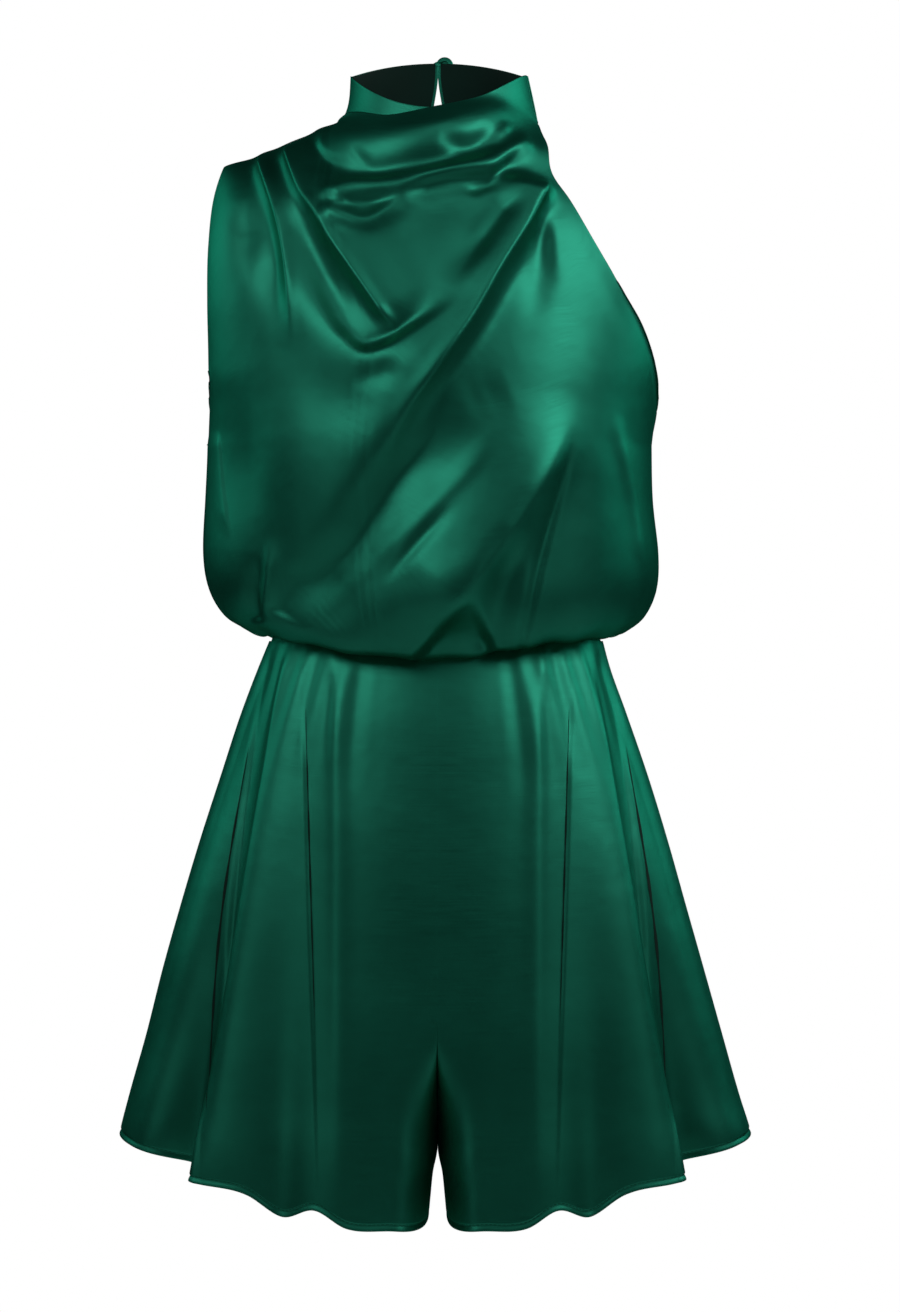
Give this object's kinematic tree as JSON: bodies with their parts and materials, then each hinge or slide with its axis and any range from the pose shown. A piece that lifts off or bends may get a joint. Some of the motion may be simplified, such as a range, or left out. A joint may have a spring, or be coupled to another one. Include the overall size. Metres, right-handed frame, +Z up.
{
  "type": "sleeveless romper",
  "caption": "Sleeveless satin romper with a high draped cowl neck, a pleated shoulder, a halter-cut armhole, a bloused waist and flared wide-leg shorts.",
  "frame": {"origin": "middle of the wearer's neck, level with the points where the shoulders meet it", "axes": "+Z up, the front faces -Y, +X towards the side with the halter-cut armhole"},
  "size_m": [0.4642, 0.2891, 0.8562],
  "materials": {
    "satin": "smooth emerald-green satin with a soft, broad, tinted sheen",
    "covered_button": "button covered with the same satin, pulled tight"
  },
  "bodies": {
    "root": {"front_bodice": "satin", "back_bodice_left": "satin", "back_bodice_right": "satin", "neck_band": "satin", "button_loop": "satin", "nape_button": "covered_button", "waistband": "satin", "shorts_front_left": "satin", "shorts_front_right": "satin", "shorts_back_left": "satin", "shorts_back_right": "satin"}
  },
  "joints": []
}
